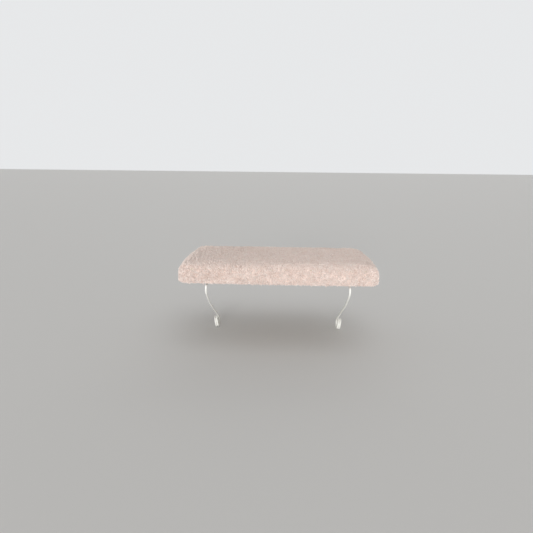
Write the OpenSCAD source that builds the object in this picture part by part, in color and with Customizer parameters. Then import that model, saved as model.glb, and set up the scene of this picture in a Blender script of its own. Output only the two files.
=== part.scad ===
// Window-sill cat perch: a padded shelf on two bent steel rod legs that brace against the wall.
// Millimetres. +Z is up, the front faces -Y and the window wall is on the +Y side.
// The origin is the middle of the strip by which the shelf rests on the window sill.

/* [Cover] */
// Width of the covered shelf, side to side
cover_w = 620; // [560:1:700]
// Depth of the covered shelf, front to back
cover_d = 345; // [320:1:400]
// Thickness of the covered shelf at its edge
cover_t = 56; // [46:1:70]
// Plan radius of the four corners
corner_r = 45; // [25:1:60]
// Radius of the top edge
edge_r = 22; // [10:1:22]
// Radius of the lower edge
under_r = 8; // [5:1:12]
// Thickness of the fleece on the top and the sides
pile_t = 8; // [6:0.5:10]
// Thickness of the cover where it is turned under the board
wrap_t = 3; // [2:0.5:4]
// How far the cover is turned under the board
wrap_w = 50; // [40:1:60]
// Rise of the middle of the pad above its edges
crown = 3; // [1:0.5:8]
// How far the two ends bow out between the corners
end_bow = 7; // [0:0.5:9]
// How far the front bows out between the corners
front_bow = 3; // [0:0.5:4]
// Width of the elastic in the hem
elastic_w = 8; // [5:0.5:10]
// Thickness of the elastic
elastic_t = 1.5; // [1:0.1:2]

/* [Board and foam] */
// Thickness of the board
board_t = 12; // [9:0.5:16]
// Thickness of the flat back of the convoluted foam
foam_base_t = 11; // [6:0.5:14]
// Distance from one foam peak to the next along a row
foam_pitch = 40; // [36:1:60]

/* [Sill strips] */
// Length of the hook and loop strips
strip_l = 480; // [300:1:500]
// Width of the hook and loop strips
strip_w = 30; // [20:1:32]
// Thickness of each strip
strip_t = 2; // [1.5:0.1:3]
// Distance from the strips to the back of the cover
strip_margin = 10; // [6:1:12]

/* [Legs] */
// Distance of each leg in from the end of the shelf
leg_inset = 91; // [75:1:130]
// Diameter of the steel rod
rod_d = 6; // [5:0.25:8]
// Gap between the rod's top run and the underside of the cover
rod_gap = 4.5; // [4.25:0.25:8]
// Distance of the rod's axis behind the front edge of the cover
rod_inset = 1.2; // [0:0.1:8]
// Bend radius under the front edge
hook_r = 9; // [8:0.5:16]
// Bend radius below the front edge, where the rod swings back to the wall
knee_r = 23; // [15:1:60]
// Radius of the long easy curve that follows
sweep_r = 570; // [300:10:800]
// Slope of the rod where the easy curve starts, in degrees below level
sweep_start = 42; // [36:1:50]
// Slope of the straight end of the leg, in degrees below level
leg_slope = 30.5; // [20:0.5:34]
// Length of the straight end of the leg
leg_straight = 190; // [120:1:240]
// Radius of the eye at the foot, to the rod's axis
eye_r = 17.5; // [14:0.5:24]
// Gap between the turns of the eye
eye_gap = 0.4; // [0.3:0.1:1]
// How far the last half turn of the eye goes round, in degrees
eye_last = 158; // [120:1:165]

/* [Leg holders] */
// How far a loosened leg slides towards the wall
slide_travel = 50; // [20:1:60]
// Length of the front holder
front_block_l = 24; // [18:1:30]
// Length of the rear holder, which clamps the rod
rear_block_l = 30; // [24:1:40]
// Distance between the two holders of a leg
block_gap = 62; // [40:1:80]
// Wall of plastic round the bores of the holders
block_wall = 4; // [3:0.25:6]
// Thickness of the screwed ears
ear_t = 5; // [4:0.25:7]
// Width of each ear
ear_w = 12; // [11:0.5:16]
// Wall thickness of the split bush
bush_wall = 1.4; // [1:0.1:2]
// Thickness and height of the bush's flanges
flange_t = 1.5; // [1:0.1:2]
// Width of the slit in the bush
slit_w = 1; // [0.6:0.1:2]
// Length of the vinyl cap on the end of the rod
cap_l = 14; // [10:1:20]
// Wall of the vinyl cap
cap_wall = 1.2; // [1:0.1:2]

/* [Screws] */
// Shank diameter of the wood screws
screw_d = 4; // [3:0.25:4.5]
// How deep the wood screws go into the board
screw_grip = 9; // [6:0.5:11]
// Thread diameter of the clamp screw
stud_d = 5; // [4:0.5:6]
// Width across the flats of the captive nut
nut_af = 8; // [7.5:0.5:10]
// Thickness of the captive nut
nut_t = 4; // [3:0.5:5]
// Diameter of the clamp screw's knob
knob_d = 22; // [16:1:28]
// Height of the knob
knob_h = 9; // [7:0.5:12]

/* [Hidden] */
$fn = 64;

// Clearances: a soft piece beside its neighbour, a shaft that turns in a bore, and a loose hole
soft_gap = 0.3;
run_fit = 0.05;
loose_fit = 0.2;
// Room left ahead of the front holder when the leg is pushed right back
bend_room = 2;
// Gap between the cap and the rear holder, and between the knob and the rear holder
stop_gap = 0.3;

// Heights: the hook strip lies on the sill at zero
loop_z = strip_t;
cover_z = loop_z + strip_t;
board_z = cover_z + wrap_t;
foam_z = board_z + board_t;
ceiling_z = cover_z + cover_t - pile_t;
foam_t = ceiling_z - foam_z - soft_gap;
run_z = cover_z - rod_gap - rod_d / 2;
block_h = board_z - run_z;

// Widths and depths: the strips are centred on the origin
leg_x = cover_w / 2 - leg_inset;
back_y = strip_w / 2 + strip_margin;
front_y = back_y - cover_d;
middle_y = (back_y + front_y) / 2;
bend_y = front_y + rod_inset + hook_r;
front_block_y = bend_y + slide_travel + bend_room + front_block_l / 2;
rear_block_y = front_block_y + front_block_l / 2 + block_gap + rear_block_l / 2;
cap_y = rear_block_y + rear_block_l / 2 + stop_gap;
rod_end_y = cap_y + cap_l - cap_wall - loose_fit;

// Board and pad, inside the cover
board_w = cover_w - 2 * (pile_t + soft_gap);
board_d = cover_d - 2 * (pile_t + soft_gap);
board_r = corner_r - pile_t - soft_gap;

// Bores and holders
rod_r = rod_d / 2;
bush_bore_r = rod_r + run_fit;
bush_r = bush_bore_r + bush_wall;
front_bore_r = bush_r + run_fit;
rear_bore_r = rod_r + run_fit;
hole_x = front_bore_r + block_wall + ear_w / 2;
nut_z = -rear_bore_r - block_wall / 2 - nut_t;
rear_bottom = nut_z - block_wall;
stud_r = stud_d / 2;

// The cover's rings: steps round a corner, points along each side, how far in from the edge
// the crown and the bow reach, and the bow of the back, the left end, the front and the right end
corner_steps = 6;
side_points = [7, 5, 7, 5];
crown_insets = [120, 85, 55, 34];
crown_run = 130;
bow_run = 60;
side_bow = [0, end_bow, front_bow, end_bow];
// Sides of the swept rod, and the thinner root by which its bends join the round top run
rod_sides = 16;
root_l = 2;
root_share = 0.95;

// A rectangle with rounded corners, centred on the origin
module rounded_plate(w, d, r) {
    square([w - 2 * r, d], center = true);
    square([w, d - 2 * r], center = true);
    for (sx = [-1, 1], sy = [-1, 1])
        translate([sx * (w / 2 - r), sy * (d / 2 - r)])
            circle(r);
}

// Tube through rings of points, closed at both ends
module loft(rings) {
    n = len(rings[0]);
    last = len(rings) - 1;
    skin = [for (k = [0:last - 1], i = [0:n - 1])
        let (a = k * n + i, b = k * n + (i + 1) % n, c = a + n, d = b + n)
        for (f = [[a, b, d], [a, d, c]]) f];
    polyhedron([for (r = rings) for (p = r) p],
        concat(skin, [[for (i = [n - 1:-1:0]) i]], [[for (i = [0:n - 1]) last * n + i]]));
}

// Board, drilled for the wood screws
module platform_board() {
    color("burlywood")
        difference() {
            translate([0, middle_y, board_z])
                linear_extrude(board_t)
                    rounded_plate(board_w, board_d, board_r);
            at_screws()
                translate([0, 0, -1])
                    cylinder(r = screw_d / 2 + run_fit, h = screw_grip + 1.5);
        }
}

// Convoluted foam: peaks and dips alternate on a square grid, with a saddle between each four.
// Grid points that lie past a rounded corner are tucked in to its arc.
function foam_cells(length) = 2 * round(length / foam_pitch);
function foam_top(i, j) = (i + j) % 2 == 0 ? foam_t : foam_base_t;
function tucked(p) =
    let (
        core = [board_w / 2 - board_r, board_d / 2 - board_r],
        past = [abs(p[0]) - core[0], abs(p[1]) - core[1]],
        reach = norm(past)
    )
    min(past) > 0 && reach > board_r
        ? [for (k = [0, 1]) sign(p[k]) * (core[k] + past[k] * board_r / reach)]
        : p;

module foam_pad() {
    nx = foam_cells(board_w);
    ny = foam_cells(board_d);
    row = nx + 1;
    grid = [for (j = [0:ny], i = [0:nx])
        tucked([board_w * (i / nx - 0.5), board_d * (j / ny - 0.5)])];
    peaks = [for (j = [0:ny], i = [0:nx]) let (p = grid[j * row + i]) [p[0], p[1], foam_top(i, j)]];
    cells = [for (j = [0:ny - 1], i = [0:nx - 1])
        let (a = j * row + i) [a, a + 1, a + row + 1, a + row]];
    saddles = [for (c = cells) (peaks[c[0]] + peaks[c[1]] + peaks[c[2]] + peaks[c[3]]) / 4];
    rim = concat([for (i = [0:nx - 1]) i], [for (j = [0:ny - 1]) j * row + nx],
        [for (i = [nx:-1:1]) ny * row + i], [for (j = [ny:-1:1]) j * row]);
    foot = [for (k = rim) [grid[k][0], grid[k][1], 0]];
    s0 = len(peaks);
    b0 = s0 + len(saddles);
    n = len(rim);
    top_faces = [for (c = [0:len(cells) - 1]) for (k = [0:3])
        [cells[c][(k + 1) % 4], cells[c][k], s0 + c]];
    wall_faces = [for (k = [0:n - 1]) let (m = (k + 1) % n)
        for (f = [[rim[k], rim[m], b0 + m], [rim[k], b0 + m, b0 + k]]) f];
    color("moccasin")
        translate([0, middle_y, foam_z])
            polyhedron(concat(peaks, saddles, foot),
                concat(top_faces, wall_faces, [[for (k = [0:n - 1]) b0 + k]]));
}

// One ring of points round the cover, at an inset from its nominal edge and at one height.
// Each side between two corners bows out most at its middle, by a share of its full bow.
// The ring starts halfway round a corner.
function ring(inset, z, share) =
    let (
        r = max(corner_r - inset, 4),
        hx = cover_w / 2 - inset - r,
        hy = cover_d / 2 - inset - r,
        centre = [[hx, hy], [-hx, hy], [-hx, -hy], [hx, -hy]],
        outward = [[0, 1], [-1, 0], [0, -1], [1, 0]]
    )
    let (
        edge = [for (q = [0:3])
            let (
                arc = [for (k = [0:corner_steps]) let (a = 90 * (q + k / corner_steps))
                    centre[q] + r * [cos(a), sin(a)]],
                next = centre[(q + 1) % 4] + r * [cos(90 * (q + 1)), sin(90 * (q + 1))],
                n = side_points[q],
                bow = outward[q] * side_bow[q] * share
            )
            each concat(arc, [for (k = [1:n]) let (t = k / (n + 1))
                arc[corner_steps] * (1 - t) + next * t + bow * 4 * t * (1 - t)])],
        first = floor(corner_steps / 2)
    )
    [for (k = [0:len(edge) - 1]) let (p = edge[(k + first) % len(edge)]) [p[0], p[1], z]];

// How much of the bow is left at an inset, and how high the crown stands there
function bow_at(inset) = min(1, max(0, 1 - inset / bow_run));
function crown_at(inset) = crown * (1 - pow(1 - min(inset, crown_run) / crown_run, 2));

// The cover's skin from the middle of its top, over the edge, under the board to the hem,
// and back inside to the ceiling over the foam
function cover_rings() = concat(
    [for (e = crown_insets) ring(e, cover_t + crown_at(e), bow_at(e))],
    [for (a = [90, 68, 45, 22, 0]) let (e = edge_r * (1 - cos(a)))
        ring(e, cover_t - edge_r * (1 - sin(a)) + crown_at(e), bow_at(e))],
    [ring(-0.5, (cover_t - edge_r + under_r) / 2, 1)],
    [for (a = [0, 30, 60, 90]) let (e = under_r * (1 - cos(a)))
        ring(e, under_r * (1 - sin(a)), bow_at(e))],
    [ring(wrap_w, 0, 0), ring(wrap_w, wrap_t, 0)],
    [ring(pile_t, wrap_t, 0), ring(pile_t, ceiling_z - cover_z, 0)]);

module fleece_cover() {
    color("antiquewhite")
        translate([0, middle_y, cover_z])
            loft(cover_rings());
}

// Flat elastic that draws the hem tight under the board
module hem_elastic() {
    inner_w = cover_w - 2 * wrap_w;
    inner_d = cover_d - 2 * wrap_w;
    inner_r = 6;
    color("whitesmoke")
        translate([0, middle_y, cover_z - elastic_t])
            linear_extrude(elastic_t)
                difference() {
                    rounded_plate(inner_w + 2 * elastic_w, inner_d + 2 * elastic_w,
                        inner_r + elastic_w);
                    rounded_plate(inner_w, inner_d, inner_r);
                }
}

module strip(z) {
    translate([0, 0, z])
        linear_extrude(strip_t)
            rounded_plate(strip_l, strip_w, 3);
}

// Soft strip sewn under the back of the cover
module sill_loop_strip() {
    color("white")
        strip(loop_z);
}

// Hooked strip stuck to the window sill
module sill_hook_strip() {
    color("gainsboro")
        strip(0);
}

// Puts its children at the axis of a leg's top run, on the left or mirrored to the right
module at_leg(side) {
    mirror([side > 0 ? 1 : 0, 0, 0])
        translate([-leg_x, 0, run_z])
            children();
}

// Where the wood screws go: two beside each holder, upwards from the underside of the board
module at_screws() {
    for (side = [-1, 1], y = [front_block_y, rear_block_y], x = [-hole_x, hole_x])
        at_leg(side)
            translate([x, y, block_h])
                children();
}

// Moulded holder along Y: a round barrel with its web up to the board and two gusseted ears
module block_body(length, bore_r) {
    barrel_r = bore_r + block_wall;
    outer_x = hole_x + ear_w / 2;
    web_x = front_bore_r + block_wall;
    toe = 1.5;
    profile = [[-outer_x, block_h], [-outer_x, block_h - ear_t + toe], [-outer_x + toe, block_h - ear_t],
        [-web_x - toe, block_h - ear_t], [-web_x, block_h - ear_t - toe], [-barrel_r, 0],
        [barrel_r, 0], [web_x, block_h - ear_t - toe], [web_x + toe, block_h - ear_t],
        [outer_x - toe, block_h - ear_t], [outer_x, block_h - ear_t + toe], [outer_x, block_h]];
    rotate([90, 0, 0])
        translate([0, 0, -length / 2]) {
            linear_extrude(length)
                polygon(profile);
            cylinder(r = barrel_r, h = length);
        }
}

// The bore and the two countersunk ear holes of a holder
module block_holes(length, bore_r) {
    rotate([90, 0, 0])
        translate([0, 0, -length / 2 - 1])
            cylinder(r = bore_r, h = length + 2);
    for (x = [-hole_x, hole_x])
        translate([x, 0, block_h - ear_t - 1]) {
            cylinder(r = screw_d / 2 + loose_fit, h = ear_t + 2);
            cylinder(r1 = screw_d + 1 + loose_fit, r2 = screw_d / 2 + loose_fit, h = screw_d / 2 + 1);
        }
}

module front_block(side) {
    color("ivory")
        at_leg(side)
            translate([0, front_block_y, 0])
                difference() {
                    block_body(front_block_l, front_bore_r);
                    block_holes(front_block_l, front_bore_r);
                }
}

// The rear holder has a boss below the rod for the clamp screw, with a pocket for the nut
module rear_block(side) {
    boss_r = nut_af / 2 / cos(30) + block_wall / 2;
    color("ivory")
        at_leg(side)
            translate([0, rear_block_y, 0])
                difference() {
                    union() {
                        block_body(rear_block_l, rear_bore_r);
                        translate([0, 0, rear_bottom])
                            cylinder(r = boss_r, h = -rear_bottom);
                    }
                    block_holes(rear_block_l, rear_bore_r);
                    translate([0, 0, rear_bottom - 1])
                        cylinder(r = stud_r + loose_fit, h = -rear_bottom + 1);
                    translate([-nut_af / 2 - loose_fit, -nut_af / 2 / cos(30) - loose_fit, nut_z - loose_fit])
                        cube([nut_af + 2 * loose_fit, rear_block_l, nut_t + 2 * loose_fit]);
                }
}

module left_front_block() { front_block(-1); }
module right_front_block() { front_block(1); }
module left_rear_block() { rear_block(-1); }
module right_rear_block() { rear_block(1); }

// Countersunk wood screws with a cross recess, one for each ear
module block_screws() {
    head_h = screw_d / 2;
    recess = screw_d * 0.9;
    color("silver")
        at_screws()
            difference() {
                translate([0, 0, -ear_t]) {
                    cylinder(r1 = screw_d, r2 = screw_d / 2, h = head_h);
                    cylinder(r = screw_d / 2, h = ear_t + screw_grip);
                }
                for (turn = [0, 90])
                    translate([0, 0, -ear_t])
                        rotate([0, 0, turn])
                            cube([recess, screw_d / 5, 2 * head_h * 0.6], center = true);
            }
}

// Split bush that snaps into the front holder: it turns there with the rod,
// and the rod slides through it
module bush(side) {
    half = front_block_l / 2 + stop_gap;
    lip_r = bush_r + flange_t;
    color("white")
        at_leg(side)
            translate([0, front_block_y, 0])
                difference() {
                    rotate([90, 0, 0])
                        rotate_extrude()
                            polygon([[bush_bore_r, -half - flange_t], [lip_r, -half - flange_t],
                                [lip_r, -half], [bush_r, -half], [bush_r, half], [lip_r, half],
                                [lip_r, half + flange_t], [bush_bore_r, half + flange_t]]);
                    translate([-slit_w / 2, -2 * half, 0])
                        cube([slit_w, 4 * half, 2 * lip_r]);
                }
}

module left_bush() { bush(-1); }
module right_bush() { bush(1); }

// Captive hexagon nut, its flats against the sides of the pocket
module clamp_nut(side) {
    color("silver")
        at_leg(side)
            translate([0, rear_block_y, nut_z])
                difference() {
                    rotate([0, 0, 30])
                        cylinder(r = nut_af / 2 / cos(30), h = nut_t, $fn = 6);
                    translate([0, 0, -1])
                        cylinder(r = stud_r, h = nut_t + 2);
                }
}

module left_clamp_nut() { clamp_nut(-1); }
module right_clamp_nut() { clamp_nut(1); }

// Clamp screw: a scalloped knob moulded on a stud that presses on the rod
module clamp_screw(side) {
    lobes = 7;
    knob_r = knob_d / 2;
    top = rear_bottom - stop_gap;
    ease = 1.5;
    color("dimgray")
        at_leg(side)
            translate([0, rear_block_y, 0]) {
                translate([0, 0, top - knob_h])
                    difference() {
                        rotate_extrude()
                            polygon([[0, 0], [knob_r - ease, 0], [knob_r, ease],
                                [knob_r, knob_h - 2 * ease], [knob_r * 0.6, knob_h], [0, knob_h]]);
                        for (k = [0:lobes - 1])
                            rotate([0, 0, 360 * k / lobes])
                                translate([knob_r + 1.5, 0, -1])
                                    cylinder(r = knob_r * 0.32, h = knob_h + 2);
                    }
                translate([0, 0, top - ease])
                    cylinder(r = stud_r - run_fit, h = ease - top - rod_r - stop_gap);
            }
}

module left_clamp_screw() { clamp_screw(-1); }
module right_clamp_screw() { clamp_screw(1); }

// The bent part of a leg is swept along a path of moves, each [bend radius, angle, lean, steps].
// A positive radius turns left of the heading, a negative one right, and zero goes straight by
// the second value. Lean tips a half turn about its heading, so that it also steps sideways.
function turn_x(a) = [[1, 0, 0, 0], [0, cos(a), -sin(a), 0], [0, sin(a), cos(a), 0], [0, 0, 0, 1]];
function turn_z(a) = [[cos(a), -sin(a), 0, 0], [sin(a), cos(a), 0, 0], [0, 0, 1, 0], [0, 0, 0, 1]];
function shift(x, y) = [[1, 0, 0, x], [0, 1, 0, y], [0, 0, 1, 0], [0, 0, 0, 1]];
function part_way(move, t) =
    let (r = move[0], a = move[1] * t, lean = move[2])
    turn_x(lean) * (r == 0 ? shift(a, 0) : shift(0, r) * turn_z(sign(r) * a) * shift(0, -r))
        * turn_x(lean * (2 * t - 1));
function stops(from, moves, i = 0) =
    i == len(moves) ? [] :
    let (n = moves[i][3], here = [for (k = [1:n]) from * part_way(moves[i], k / n)])
    concat(here, stops(here[n - 1], moves, i + 1));
function rod_ring(frame, r) = [for (k = [0:rod_sides - 1])
    let (a = -360 * k / rod_sides, p = frame * [0, r * cos(a), r * sin(a), 1]) [p[0], p[1], p[2]]];

// One leg: the straight top run, then the hook under the front edge, the knee, the easy curve,
// the straight end and the coiled eye, whose turns lie side by side
module leg(side) {
    lean = asin((rod_d + eye_gap) / 2 / eye_r);
    moves = [[hook_r, 90, 0, 6], [knee_r, 90 - sweep_start, 0, 4],
        [sweep_r, sweep_start - leg_slope, 0, 4], [0, leg_straight, 0, 1],
        [-eye_r, 180, 0, 12], [-eye_r, 180, lean, 12], [-eye_r, 180, 0, 12],
        [-eye_r, eye_last, lean, 10]];
    path = stops(turn_x(0), moves);
    tip = path[len(path) - 1];
    color("linen")
        at_leg(side) {
            translate([0, rod_end_y, 0])
                rotate([90, 0, 0])
                    cylinder(r = rod_r, h = rod_end_y - bend_y);
            translate([0, bend_y, 0])
                rotate([-90, 0, -90])
                    loft(concat(
                        [for (x = [-root_l, root_l / 10]) rod_ring(shift(x, 0), rod_r * root_share)],
                        [for (f = path) rod_ring(f, rod_r)],
                        [for (a = [35, 65]) rod_ring(tip * shift(rod_r * sin(a), 0), rod_r * cos(a))]));
        }
}

module left_leg() { leg(-1); }
module right_leg() { leg(1); }

// Vinyl cap on the back end of the rod, which also stops it from being pulled out forwards
module rod_cap(side) {
    cap_r = bush_bore_r + cap_wall;
    color("whitesmoke")
        at_leg(side)
            translate([0, cap_y, 0])
                rotate([-90, 0, 0])
                    difference() {
                        union() {
                            cylinder(r = cap_r, h = cap_l - cap_wall);
                            translate([0, 0, cap_l - cap_wall])
                                cylinder(r1 = cap_r, r2 = cap_r - cap_wall, h = cap_wall);
                        }
                        translate([0, 0, -1])
                            cylinder(r = bush_bore_r, h = cap_l - cap_wall + 1);
                    }
}

module left_rod_cap() { rod_cap(-1); }
module right_rod_cap() { rod_cap(1); }

platform_board();
foam_pad();
fleece_cover();
hem_elastic();
sill_loop_strip();
sill_hook_strip();
left_front_block();
left_rear_block();
right_front_block();
right_rear_block();
block_screws();
left_bush();
right_bush();
left_clamp_nut();
right_clamp_nut();
left_clamp_screw();
right_clamp_screw();
left_leg();
right_leg();
left_rod_cap();
right_rod_cap();
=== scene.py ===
import math

import bmesh
import bpy
import numpy as np
from mathutils import Matrix, Vector, noise


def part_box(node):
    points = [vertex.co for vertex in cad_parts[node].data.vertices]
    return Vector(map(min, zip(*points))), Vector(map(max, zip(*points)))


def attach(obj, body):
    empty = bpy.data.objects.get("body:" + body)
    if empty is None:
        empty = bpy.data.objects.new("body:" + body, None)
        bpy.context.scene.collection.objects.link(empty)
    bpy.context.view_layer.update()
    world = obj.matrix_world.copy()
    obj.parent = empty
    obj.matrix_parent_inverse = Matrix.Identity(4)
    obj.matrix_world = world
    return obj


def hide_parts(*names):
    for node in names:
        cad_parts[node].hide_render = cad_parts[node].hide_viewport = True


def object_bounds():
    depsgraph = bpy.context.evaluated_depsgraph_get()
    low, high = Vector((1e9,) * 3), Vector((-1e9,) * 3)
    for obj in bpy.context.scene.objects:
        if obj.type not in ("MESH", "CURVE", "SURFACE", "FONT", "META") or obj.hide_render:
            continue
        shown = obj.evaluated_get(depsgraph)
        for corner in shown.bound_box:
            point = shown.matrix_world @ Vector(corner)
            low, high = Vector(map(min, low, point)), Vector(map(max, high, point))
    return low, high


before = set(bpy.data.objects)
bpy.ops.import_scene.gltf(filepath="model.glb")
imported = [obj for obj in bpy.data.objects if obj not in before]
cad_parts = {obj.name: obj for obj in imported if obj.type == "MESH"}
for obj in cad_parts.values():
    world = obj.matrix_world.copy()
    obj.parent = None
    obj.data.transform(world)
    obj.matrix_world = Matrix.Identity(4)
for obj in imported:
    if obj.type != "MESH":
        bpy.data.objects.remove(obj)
cad_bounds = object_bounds()

# Camera. It stands in front of the shelf and a little above it, and is rolled a little. Its
# distances are from the cover's lower front edge, whose height comes from the frame.
def put(name, data):
    """A new object in the scene, at the origin."""
    made = bpy.data.objects.new(name, data)
    bpy.context.scene.collection.objects.link(made)
    return made


def direction(turn, rise):
    """The way from the object to a spot before it, turned to the right and raised by angles."""
    level = math.cos(rise)
    return Vector((math.sin(turn) * level, -math.cos(turn) * level, math.sin(rise)))


cover_low, cover_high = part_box("fleece_cover")
front_edge_y = -0.320
camera_back = 1.290
camera_up = 0.359
camera_right = 0.0076
camera_pitch = math.radians(13.15)
camera_yaw = math.radians(1.87)
camera_roll = math.radians(0.6)
focal_pixels = 442
frame_pixels = 533
sensor_mm = 36

ahead = -direction(camera_yaw, camera_pitch)
level_right = ahead.cross(Vector((0, 0, 1))).normalized()
level_up = level_right.cross(ahead)
right = math.cos(camera_roll) * level_right + math.sin(camera_roll) * level_up
up = math.cos(camera_roll) * level_up - math.sin(camera_roll) * level_right
camera = put("camera", bpy.data.cameras.new("camera"))
camera.matrix_world = Matrix.Translation(
    (camera_right, front_edge_y - camera_back, cover_low.z + camera_up)
) @ Matrix((right, up, -ahead)).transposed().to_4x4()
camera.data.sensor_width = sensor_mm
camera.data.lens = sensor_mm * focal_pixels / frame_pixels
bpy.context.scene.camera = camera


# Platform board. Fibreboard cut with rounded corners; the holders are screwed to its underside
# and the foam lies on it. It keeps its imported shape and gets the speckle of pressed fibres.
def new_material(name, roughness, metallic=0.0, **more):
    """A node material with its shader's plain numbers set on the shader itself."""
    material = bpy.data.materials.new(name)
    material.use_nodes = True
    shader = material.node_tree.nodes["Principled BSDF"]
    shader.inputs["Roughness"].default_value = roughness
    shader.inputs["Metallic"].default_value = metallic
    for key, value in more.items():
        shader.inputs[key.replace("_", " ")].default_value = value
    return material


def socket(sockets, label):
    """A node's input or output, by its identifier or else by its name."""
    for one in sockets:
        if one.identifier == label:
            return one
    return sockets[label.replace("_", " ")]


def add(tree, kind, settings=None, **inputs):
    """Adds a node with its properties, and gives each named input a value or a link."""
    node = tree.nodes.new(kind)
    for key, value in (settings or {}).items():
        setattr(node, key, value)
    for key, value in inputs.items():
        if isinstance(value, bpy.types.NodeSocket):
            tree.links.new(value, socket(node.inputs, key))
        else:
            socket(node.inputs, key).default_value = value
    return node


def math_node(tree, kind, operation, *terms):
    """A Math or Vector Math node on its terms, each of them a number, a vector or a link."""
    node = tree.nodes.new(kind)
    node.operation = operation
    for term, place in zip(terms, node.inputs):
        if isinstance(term, bpy.types.NodeSocket):
            tree.links.new(term, place)
        else:
            place.default_value = term
    return node.outputs["Value" if kind == "ShaderNodeMath" or operation == "LENGTH" else "Vector"]


def number(tree, operation, *terms):
    """Arithmetic on numbers, such as ADD or SINE."""
    return math_node(tree, "ShaderNodeMath", operation, *terms)


def times(tree, *terms):
    """The product of two numbers."""
    return number(tree, "MULTIPLY", *terms)


def vector(tree, operation, *terms):
    """Arithmetic on vectors; LENGTH gives a number."""
    return math_node(tree, "ShaderNodeVectorMath", operation, *terms)


def speckle(material, scale, detail=3.0, roughness=0.55):
    """Noise in the object's own metres: a scale of 100 gives marks of about 10 mm."""
    tree = material.node_tree
    place = add(tree, "ShaderNodeTexCoord").outputs["Object"]
    sizes = {"Scale": scale, "Detail": detail, "Roughness": roughness}
    return add(tree, "ShaderNodeTexNoise", Vector=place, **sizes).outputs["Fac"]


def colour_along(material, value, *stops):
    """A colour ramp through (position, colour) stops, fed into the shader's base colour."""
    tree = material.node_tree
    node = add(tree, "ShaderNodeValToRGB", Fac=value)
    elements = node.color_ramp.elements
    while len(elements) < len(stops):
        elements.new(0.5)
    for element, (position, colour) in zip(elements, stops):
        element.position = position
        element.color = (*colour, 1)
    shader = tree.nodes["Principled BSDF"]
    tree.links.new(node.outputs["Color"], shader.inputs["Base Color"])


def raise_by(material, height, strength, distance):
    """Bump of a given height in metres, fed into the shader's normal."""
    tree = material.node_tree
    node = add(tree, "ShaderNodeBump", Height=height, Strength=strength, Distance=distance)
    shader = tree.nodes["Principled BSDF"]
    tree.links.new(node.outputs["Normal"], shader.inputs["Normal"])


def speckled(name, roughness, dark, light, marks, relief, grain=None, **more):
    """A material in two tones of speckle, with a fine relief in its own grain or in the marks."""
    material = new_material(name, roughness, **more)
    colour_along(material, speckle(material, *marks), (0.3, dark), (0.7, light))
    raise_by(material, speckle(material, *(grain or marks)), *relief)
    return material


def dress(material, *node_names):
    """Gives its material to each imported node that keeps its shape."""
    for node_name in node_names:
        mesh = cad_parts[node_name].data
        mesh.materials.clear()
        mesh.materials.append(material)


fibreboard = speckled(
    "fibreboard", 0.75, dark=(0.30, 0.19, 0.10), light=(0.47, 0.33, 0.20),
    marks=(900, 5.0, 0.7), relief=(0.25, 0.0003),
)
dress(fibreboard, "platform_board")


# Convoluted foam. One pad of cream polyurethane foam, cut between profiled rollers so that its
# top is a field of peaks and dips. It lies loose on the board, under the cover.
def geometry_tree(name, **inputs):
    """A new geometry tree whose named inputs are listed by kind; returns it and their sockets."""
    tree = bpy.data.node_groups.new(name, "GeometryNodeTree")
    for kind, labels in {"Geometry": "Geometry", **inputs}.items():
        for label in labels.split(", "):
            tree.interface.new_socket(label, in_out="INPUT", socket_type="NodeSocket" + kind)
    tree.interface.new_socket("Geometry", in_out="OUTPUT", socket_type="NodeSocketGeometry")
    return tree, add(tree, "NodeGroupInput").outputs


def end_tree(tree, geometry, material):
    """Ends a tree in Realize Instances and Set Material."""
    real = add(tree, "GeometryNodeRealizeInstances", Geometry=geometry).outputs["Geometry"]
    dressed = add(tree, "GeometryNodeSetMaterial", Geometry=real, Material=material)
    add(tree, "NodeGroupOutput", Geometry=dressed.outputs["Geometry"])


def made_by(tree, name, source, **values):
    """Runs a geometry tree on a mesh or curve and returns the result as a plain mesh object."""
    holder = put(name + "_source", source)
    modifier = holder.modifiers.new("shape", "NODES")
    modifier.node_group = tree
    identifiers = {item.name: item.identifier for item in tree.interface.items_tree}
    for key, value in values.items():
        modifier[identifiers[key.replace("_", " ")]] = value
    depsgraph = bpy.context.evaluated_depsgraph_get()
    mesh = bpy.data.meshes.new_from_object(
        holder.evaluated_get(depsgraph), preserve_all_data_layers=True, depsgraph=depsgraph
    )
    bpy.data.objects.remove(holder)
    return put(name, mesh)


def xyz(tree, **parts):
    """A vector put together from numbers or links for X, Y and Z."""
    return add(tree, "ShaderNodeCombineXYZ", **parts).outputs["Vector"]


def smoothed(tree, geometry):
    """The same geometry with its faces shaded smooth."""
    kind, settings = "GeometryNodeSetShadeSmooth", {"domain": "FACE"}
    return add(tree, kind, settings, Geometry=geometry).outputs["Geometry"]


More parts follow.
